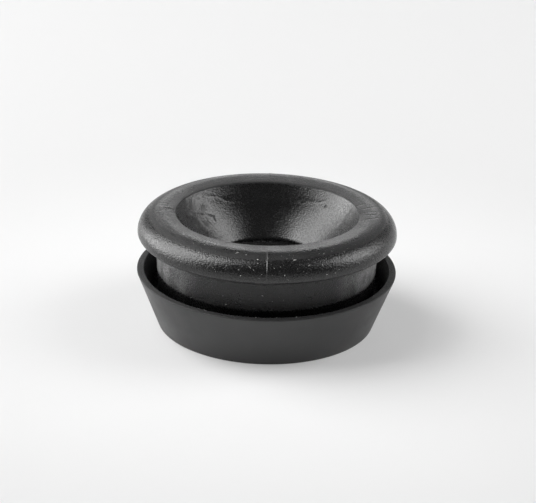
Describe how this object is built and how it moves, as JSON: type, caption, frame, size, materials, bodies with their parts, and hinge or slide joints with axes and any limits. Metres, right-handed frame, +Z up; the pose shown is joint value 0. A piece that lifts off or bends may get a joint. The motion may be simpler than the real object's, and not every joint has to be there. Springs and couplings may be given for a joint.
{
  "type": "rubber flush pipe gasket",
  "caption": "Round moulded rubber gasket with a rolled bead, a funnel down to a sealing lip, and a thin skirt flaring up round the neck.",
  "frame": {"origin": "centre of the base, on the surface that the gasket stands on", "axes": "+Z up along the bore, from the base to the sealing face; the section is the same all round, so +X and +Y are free"},
  "size_m": [0.0624, 0.0624, 0.0278],
  "materials": {
    "rubber": "satin"
  },
  "bodies": {
    "root": {"gasket": "rubber"}
  },
  "joints": []
}
